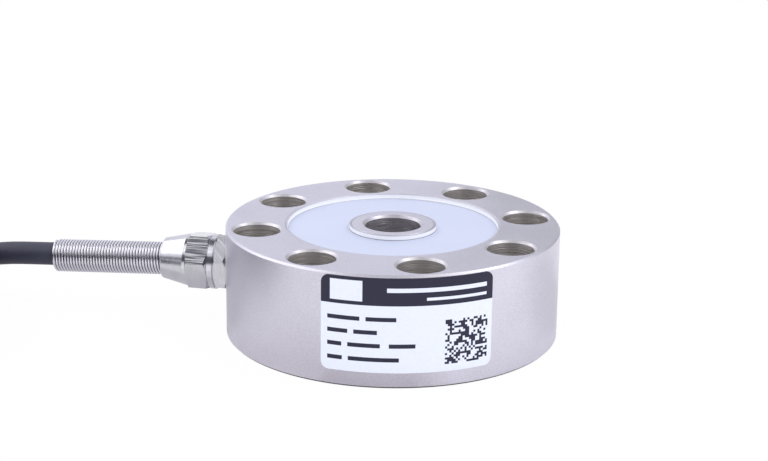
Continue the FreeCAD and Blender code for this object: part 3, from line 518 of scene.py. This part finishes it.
def label_film():
    """White film with a dark band, plain bars and a patch of random squares."""
    finish = Finish("label_film", Specular_IOR_Level=0.35)
    along = (finish.angle() - LABEL_ZERO) * LABEL_RADIUS
    height = finish.z / MM

    def block(left, right, low, high):
        return along.between(left, right) * height.between(low, high)

    dark = height > BAND_LOW
    for corners in BAND_BLOCKS:
        dark = dark * (1 - block(*corners))
    for low, bars in BAR_ROWS:
        for left, right in bars:
            dark = dark | block(left, right, low, low + BAR_HEIGHT)
    column = ((along - SQUARES_LEFT) / SQUARE).math("FLOOR")
    row = ((height - SQUARES_LOW) / SQUARE).math("FLOOR")
    chance = finish.wire.node("ShaderNodeTexWhiteNoise", {"noise_dimensions": "2D"},
                              {"Vector": finish.wire.join(column, row, 0)})
    side = SQUARE * SQUARES_IN_ROW
    patch = block(SQUARES_LEFT, SQUARES_LEFT + side, SQUARES_LOW, SQUARES_LOW + side)
    dark = dark | (chance > SQUARES_BARE) * patch
    grain = finish.place.noise(1100)
    paper = grain.ease(0.3, 0.7).blend(colour(0.79, 0.83, 0.955), colour(0.815, 0.855, 0.975))
    finish.put("Base Color", dark.blend(paper, colour(0.016, 0.016, 0.042)))
    finish.put("Roughness", 0.36 + grain * 0.08)
    finish.put("Normal", grain.bump(4e-6))
    return finish.material


# The spring

SPRING_SIZES = {"Turns": 46.0, "Pitch": 0.985 * MM, "Coil Radius": 4.85 * MM, "Wide Radius": 5.9 * MM,
                "Wide Turns": 1.6, "Narrowing Turns": 0.6, "Wire Radius": 0.49 * MM, "Steps": 44.0}


def spring_tree(material):
    """Wire wound along +Z: wide end turns first, then close turns of one size."""
    tree = bpy.data.node_groups.new("close_wound_spring", "GeometryNodeTree")
    for name, value in SPRING_SIZES.items():
        tree.interface.new_socket(name, in_out="INPUT", socket_type="NodeSocketFloat").default_value = value
    tree.interface.new_socket("Geometry", in_out="OUTPUT", socket_type="NodeSocketGeometry")
    given = tree.nodes.new("NodeGroupInput")
    size = {name: Wire(tree, given.outputs[name]) for name in SPRING_SIZES}
    wire = Wire(tree)
    line = wire.node("GeometryNodeCurvePrimitiveLine")
    count = size["Turns"] * size["Steps"]
    points = wire.node("GeometryNodeResampleCurve", None, {"Curve": line, "Count": count})
    turned = wire.node("GeometryNodeSplineParameter") * size["Turns"]
    radius = wire.node("ShaderNodeMapRange", {"interpolation_type": "SMOOTHSTEP"}, {
        "Value": turned - size["Wide Turns"], "From Min": 0.0, "From Max": size["Narrowing Turns"],
        "To Min": size["Wide Radius"], "To Max": size["Coil Radius"]})
    angle = turned * math.tau
    place = wire.join(radius * angle.math("COSINE"), radius * angle.math("SINE"),
                      turned * size["Pitch"] + size["Wire Radius"])
    helix = wire.node("GeometryNodeSetPosition", None, {"Geometry": points, "Position": place})
    section = wire.node("GeometryNodeCurvePrimitiveCircle", None,
                        {"Resolution": 12, "Radius": size["Wire Radius"]})
    tube = wire.node("GeometryNodeCurveToMesh", None,
                     {"Curve": helix, "Profile Curve": section, "Fill Caps": True})
    smooth = wire.node("GeometryNodeSetShadeSmooth", None, {"Geometry": tube})
    plain = wire.node("GeometryNodeRealizeInstances", None, {"Geometry": smooth})
    dressed = wire.node("GeometryNodeSetMaterial", None, {"Geometry": plain, "Material": material})
    end = tree.nodes.new("NodeGroupOutput")
    tree.links.new(dressed.socket, end.inputs["Geometry"])
    return tree


def wind_spring(material):
    """The bend relief spring, drooping a little out of the nut."""
    maker = bpy.data.objects.new("spring_maker", bpy.data.meshes.new("spring_maker"))
    scene.collection.objects.link(maker)
    winding = maker.modifiers.new("winding", "NODES")
    winding.node_group = spring_tree(material)
    for item in winding.node_group.interface.items_tree:
        if item.in_out == "INPUT":
            winding[item.identifier] = item.default_value
    graph = bpy.context.evaluated_depsgraph_get()
    mesh = bpy.data.meshes.new_from_object(maker.evaluated_get(graph))
    bpy.data.objects.remove(maker)
    lean = Matrix.Rotation(-math.pi / 2 - SPRING_DROOP, 4, "Y")
    mesh.transform(Matrix.Translation((SPRING_START, 0, SPRING_HEIGHT)) @ lean)
    spring = bpy.data.objects.new("wound_spring", mesh)
    scene.collection.objects.link(spring)
    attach(spring, "root")
    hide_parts("relief_spring")


# The cable, in millimetres as in the part's source

CABLE_DIAMETER = 7.5
CABLE_ROUTE = [(-51.4, 0, 18), (-72, 0, 18), (-113, 0, 16.45), (-136, 0, 15.15), (-157.5, 6.5, 5.6)]
CABLE_END = (-177.5, -90.25, 27.72)
# The coil's innermost turn and lowest layer: the radius and the height of the cable's middle line.
COIL_INSIDE = 30.75
COIL_FOOT = 5.1
# Each stop in the coil: turns so far, which turn counted from the inside, and which layer.
COIL_STOPS = [
    (0, 3, 0), (0.8, 3, 0), (1, 2, 0), (1.8, 2, 0), (2, 1, 0), (2.8, 1, 0), (3, 0, 0), (3.55, 0, 0),
    (3.75, 0, 1), (4.35, 0, 1), (4.55, 1, 1), (5.35, 1, 1), (5.55, 2, 1), (6.35, 2, 1), (6.55, 3, 1),
    (7.15, 3, 1), (7.35, 3, 2), (7.95, 3, 2), (8.15, 2, 2), (8.95, 2, 2), (9.15, 1, 2), (9.95, 1, 2),
    (10.15, 0, 2), (10.78, 0, 2), (11.06, 0, 3), (11.36, 1.7, 3), (11.5, 1.7, 3),
]
STEPS_A_TURN = 16


def coil_stop(turns):
    """Which turn and which layer the cable is in after that many turns."""
    for (start, turn, layer), (end, next_turn, next_layer) in zip(COIL_STOPS, COIL_STOPS[1:]):
        if turns <= end:
            share = (turns - start) / (end - start)
            share = share * share * (3 - 2 * share)
            return turn + (next_turn - turn) * share, layer + (next_layer - layer) * share


def coil_points():
    """Control points of the coil, widened because the line runs inside them."""
    widen = 1 / math.cos(math.pi / STEPS_A_TURN)
    points = []
    for step in range(int(COIL_STOPS[-1][0] * STEPS_A_TURN)):
        turns = (step + 0.5) / STEPS_A_TURN
        turn, layer = coil_stop(turns)
        radius = (COIL_INSIDE + CABLE_DIAMETER * turn) * widen
        angle = math.pi / 2 + math.tau * turns
        points.append((COIL_MIDDLE[0] / MM + radius * math.cos(angle),
                       COIL_MIDDLE[1] / MM + radius * math.sin(angle),
                       COIL_FOOT + CABLE_DIAMETER * layer))
    return points


def lay_cable(material):
    """One smooth line out of the gland, down to the floor, round the coil and to the bare end."""
    points = [*CABLE_ROUTE, *coil_points(), CABLE_END]
    data = bpy.data.curves.new("sheathed_cable", "CURVE")
    data.dimensions = "3D"
    data.resolution_u = 6
    data.bevel_depth = CABLE_DIAMETER / 2 * MM
    data.bevel_resolution = 6
    data.use_fill_caps = True
    line = data.splines.new("NURBS")
    line.points.add(len(points) - 1)
    for point, place in zip(line.points, points):
        point.co = (place[0] * MM, place[1] * MM, place[2] * MM, 1)
    line.order_u = 3
    line.use_endpoint_u = True
    line.use_smooth = True
    data.materials.append(material)
    cable = bpy.data.objects.new("sheathed_cable", data)
    scene.collection.objects.link(cable)
    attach(cable, "root")
    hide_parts("cable", "cable_coil", "cable_tail")


# Studio

WHITE = colour(1, 1, 1)
LAMP_DISTANCE = 0.9
PAPER_REACH = 3
PAPER_HEIGHT = -0.0002
# Hanging cards: name, span to the left of the camera and span up in degrees, grey, and distance.
HANGING_CARDS = (
    ("front_card", (-60, 47), (4, 34), (0.07, 0.07, 0.08), 0.5),
    ("side_card", (47, 76), (6, 16), (0.2, 0.2, 0.22), 0.5),
    ("brow_card", (-60, 26), (34, 54), (0.26, 0.26, 0.28), 0.5),
    ("top_card", (-60, 12), (54, 88), (0.42, 0.41, 0.42), 0.5),
    ("key_card", (12, 60), (54, 80), (0.72, 0.72, 0.75), 0.5),
    ("ceiling_card", (70, 290), (64, 90), (0.45, 0.45, 0.47), 0.5),
    ("right_card", (-175, -105), (0, 32), (0.6, 0.6, 0.62), 0.5),
    ("back_band", (95, 200), (52, 70), (0.1, 0.1, 0.12), 0.45),
    ("hole_card", (-76, -26), (12, 80), (1.1, 1.08, 1.06), 0.46),
)
# Painted shade on the floor, which only the metal mirrors, as strips: name, direction in degrees, start and
# end, half width, height and grey.
FLOOR_STRIPS = (
    ("gland_shade", 180, (0.055, 0.15), 0.042, 0.0003, (0.86, 0.85, 0.88)),
    ("gland_core_shade", 180, (0.055, 0.15), 0.02, 0.0006, (0.64, 0.63, 0.67)),
    ("right_shade", 22, (0.058, 0.14), 0.03, 0.0003, (0.8, 0.79, 0.84)),
)
# Painted shade on the floor, which only the metal mirrors, as rings: name, span to the left of the camera
# in degrees, inner and outer radius, height and grey.
FLOOR_RINGS = (
    ("foot_shade", (-180, 180), (0.046, 0.0526), -0.0001, (0.1, 0.1, 0.1)),
    ("front_shade", (-9, 24), (0.0526, 0.07), 0.0004, (0.68, 0.65, 0.68)),
    ("front_shade_fade", (-14, -9), (0.0526, 0.07), 0.0004, (0.76, 0.74, 0.76)),
    ("front_shade_end", (-20, -14), (0.0526, 0.07), 0.0004, (0.87, 0.85, 0.88)),
    ("left_shade", (24, 62), (0.0526, 0.07), 0.0004, (0.81, 0.78, 0.81)),
    ("far_shade", (10, 55), (0.07, 0.095), 0.0004, (0.9, 0.89, 0.91)),
)


def seen(wire):
    """Rays of the camera, and those that mirror or pass through."""
    return [wire.node("ShaderNodeLightPath", out=name)
            for name in ("Is Camera Ray", "Is Glossy Ray", "Is Transmission Ray")]


def direction(left, up):
    """A direction seen from the middle, in degrees to the left of the camera and up from the floor."""
    turn = CAMERA_TURN - math.pi / 2 - math.radians(left)
    rise = math.radians(up)
    return Vector((math.cos(turn) * math.cos(rise), math.sin(turn) * math.cos(rise), math.sin(rise)))


def make_world():
    """White to the camera, cool in the metal, and a plain level of light all round."""
    world = bpy.data.worlds.new("studio")
    world.use_nodes = True
    scene.world = world
    tree = world.node_tree
    camera, glossy, clear = seen(Wire(tree))
    mirrored = (glossy | clear).blend(colour(0.95, 0.96, 1.0), colour(0.91, 0.925, 1.01))
    shown = camera.blend(mirrored, WHITE)
    tree.links.new(shown.socket, tree.nodes["Background"].inputs["Color"])


def make_sheet(name, places, faces):
    """A sheet for the studio and a wire in its material, which has no shader yet."""
    mesh = bpy.data.meshes.new(name)
    mesh.from_pydata(places, [], faces)
    sheet = bpy.data.objects.new(name, mesh)
    scene.collection.objects.link(sheet)
    material = bpy.data.materials.new(name)
    material.use_nodes = True
    tree = material.node_tree
    tree.nodes.remove(tree.nodes["Principled BSDF"])
    mesh.materials.append(material)
    return sheet, Wire(tree)


def give_shader(shader):
    """Joins a shader to the end of its own tree."""
    shader.tree.links.new(shader.socket, shader.tree.nodes["Material Output"].inputs["Surface"])


def make_floor():
    """White paper that keeps the object's shadow."""
    corners = ((-1, -1), (1, -1), (1, 1), (-1, 1))
    places = [(x * PAPER_REACH, y * PAPER_REACH, PAPER_HEIGHT) for x, y in corners]
    paper, wire = make_sheet("paper", places, [(0, 1, 2, 3)])
    camera, glossy, clear = seen(wire)
    diffuse = wire.node("ShaderNodeBsdfDiffuse", None, {"Color": colour(0.88, 0.87, 0.88)})
    white = wire.node("ShaderNodeEmission", None, {"Color": WHITE})
    lit = camera * 0.97 | (glossy | clear) * 0.08
    give_shader(wire.node("ShaderNodeMixShader", None, {0: lit, 1: diffuse, 2: white}))


def add_lamp(name, left, up, width, height, watts, tint=(1, 1, 1)):
    """A soft box in that direction, turned towards the middle of the rim."""
    data = bpy.data.lights.new(name, "AREA")
    data.shape = "RECTANGLE"
    data.size = width
    data.size_y = height
    data.energy = watts
    data.color = tint
    lamp = bpy.data.objects.new(name, data)
    away = direction(left, up)
    lamp.location = MIDDLE + away * LAMP_DISTANCE
    lamp.rotation_euler = (-away).to_track_quat("-Z", "Y").to_euler()
    scene.collection.objects.link(lamp)


def make_card(name, places, faces, grey):
    """A grey card that only the metal mirrors."""
    card, wire = make_sheet(name, places, faces)
    give_shader(wire.node("ShaderNodeEmission", None, {"Color": colour(*grey)}))
    card.visible_camera = False
    card.visible_diffuse = False
    card.visible_shadow = False
    card.visible_transmission = False


def hang_card(name, left, up, grey, away):
    """A curved card round the middle, over a span of directions to the left and up."""
    columns = 12
    rows = 8
    places = [MIDDLE + direction(left[0] + (left[1] - left[0]) * column / columns,
                                 up[0] + (up[1] - up[0]) * row / rows) * away
              for row in range(rows + 1) for column in range(columns + 1)]
    across = columns + 1
    faces = [(row * across + column, row * across + column + 1,
              (row + 1) * across + column + 1, (row + 1) * across + column)
             for row in range(rows) for column in range(columns)]
    make_card(name, places, faces, grey)


def lay_strip(name, turn, reach, half_width, height, grey):
    """A card on the floor that runs out from the rim in one direction, where less light comes."""
    out = Vector((math.cos(math.radians(turn)), math.sin(math.radians(turn)), 0))
    side = Vector((-out.y, out.x, 0)) * half_width
    lift = Vector((0, 0, height))
    places = [out * reach[0] - side + lift, out * reach[1] - side + lift,
              out * reach[1] + side + lift, out * reach[0] + side + lift]
    make_card(name, places, [(0, 1, 2, 3)], grey)


def lay_ring(name, left, reach, height, grey):
    """A card of painted shade on the floor that runs round the rim, over a span of degrees to the left of the
    camera.
    """
    steps = 48
    lift = Vector((0, 0, height))
    places = []
    for step in range(steps + 1):
        out = direction(left[0] + (left[1] - left[0]) * step / steps, 0)
        places += [out * reach[0] + lift, out * reach[1] + lift]
    faces = [(2 * step, 2 * step + 1, 2 * step + 3, 2 * step + 2) for step in range(steps)]
    make_card(name, places, faces, grey)


def light_studio():
    """Two soft boxes, the grey cards that give the metal something to mirror, and cards of painted shade on
    the floor round and under the part, which only the metal mirrors.
    """
    add_lamp("left_box", 98, 50, 1.2, 0.6, 2.1, (1, 0.96, 0.9))
    add_lamp("right_box", -70, 55, 0.6, 0.5, 2.2)
    for card in HANGING_CARDS:
        hang_card(*card)
    for strip in FLOOR_STRIPS:
        lay_strip(*strip)
    for ring in FLOOR_RINGS:
        lay_ring(*ring)


# Dressing

SLEEVES = {"red": (0.5, 0.02, 0.02), "black": (0.012, 0.012, 0.014), "green": (0.02, 0.25, 0.06),
           "white": (0.62, 0.62, 0.6)}


def dress(material, *names):
    """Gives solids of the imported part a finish."""
    for name in names:
        nodes[name].material_slots[0].material = material


def dress_solids():
    """A finish for every solid that shows as it was packed."""
    dress(satin_nickel(), "sensor_body")
    dress(pressed_sheet(), "top_cover", "bottom_cover")
    dress(gauge_foil(), *[f"strain_gauge_{number}" for number in range(1, 9)])
    dress(terminal_board(), "bridge_board")
    dress(chip_resistor(), "zero_resistor", "span_resistor")
    dress(fine_wires(), "bridge_wiring")
    for name, base in SLEEVES.items():
        dress(core_sleeve(f"{name}_sleeve", base), f"lead_{name}", f"core_{name}")
    dress(shield_braid(), "core_shield")
    gland_nickel = turned_nickel("gland_nickel", (0.71, 0.71, 0.745), 0.13, (NUT_FLATS, BODY_FLATS))
    dress(gland_nickel, "gland_body", "gland_nut")
    dress(turned_nickel("clamp_nickel", (0.6, 0.6, 0.62), 0.3), "clamp_ring")
    dress(turned_nickel("washer_tin", (0.68, 0.67, 0.68), 0.3), "sealing_washer")
    dress(seal_rubber(), "gland_seal")
    dress(tie_nylon("nylon_one", 115), "cable_tie_1")
    dress(tie_nylon("nylon_two", 325), "cable_tie_2")
    dress(label_film(), "rating_label")


scene.view_settings.view_transform = "Standard"
set_camera()
lay_cable(cable_sheath())
wind_spring(spring_wire())
dress_solids()
make_world()
make_floor()
light_studio()
